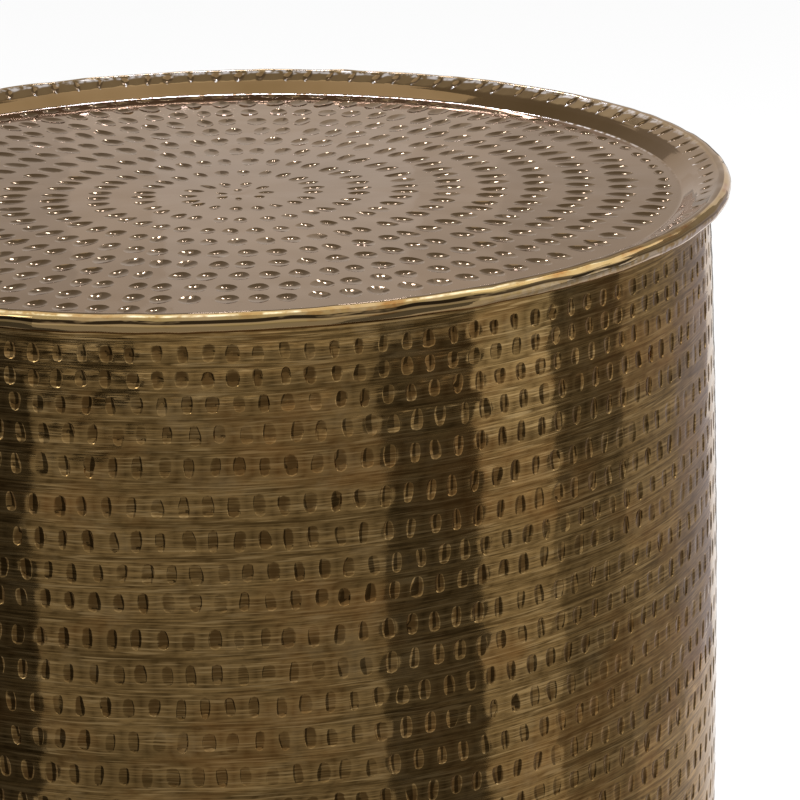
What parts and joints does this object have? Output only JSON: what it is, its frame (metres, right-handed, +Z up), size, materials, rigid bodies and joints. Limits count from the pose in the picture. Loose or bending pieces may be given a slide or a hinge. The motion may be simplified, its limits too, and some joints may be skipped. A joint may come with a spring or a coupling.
{
  "type": "drum side table",
  "caption": "Barrel-shaped hammered metal drum side table with a shallow rimmed tray top that lifts off the hollow drum.",
  "frame": {"origin": "on the ground under the middle of the drum", "axes": "+Z up along the drum's axis; X and Y lie on the ground, with a foot on +X"},
  "size_m": [0.42, 0.42, 0.45],
  "materials": {
    "antique_brass": "hand-hammered sheet, dark antique patina rubbed back to brass on the high spots",
    "steel_wire": "drawn wire",
    "bronzed_steel": "dark bronze lacquer",
    "felt": "dense brown felt",
    "stained_board": "dark stained board",
    "black_rubber": "moulded rubber",
    "zinc_steel": "zinc plated"
  },
  "bodies": {
    "drum": {"drum_wall": "antique_brass", "tray_ledge": "bronzed_steel", "ledge_pads": "felt", "base_ring": "bronzed_steel", "base_panel": "stained_board", "rubber_feet": "black_rubber", "foot_washers": "zinc_steel", "foot_screws": "zinc_steel"},
    "tray": {"tray_pan": "antique_brass", "rim_wire": "steel_wire"}
  },
  "joints": [
    {"name": "tray_lift", "type": "slide", "parent": "drum", "child": "tray", "axis": [0, 0, 1], "range_m": [0, 0.15]}
  ]
}
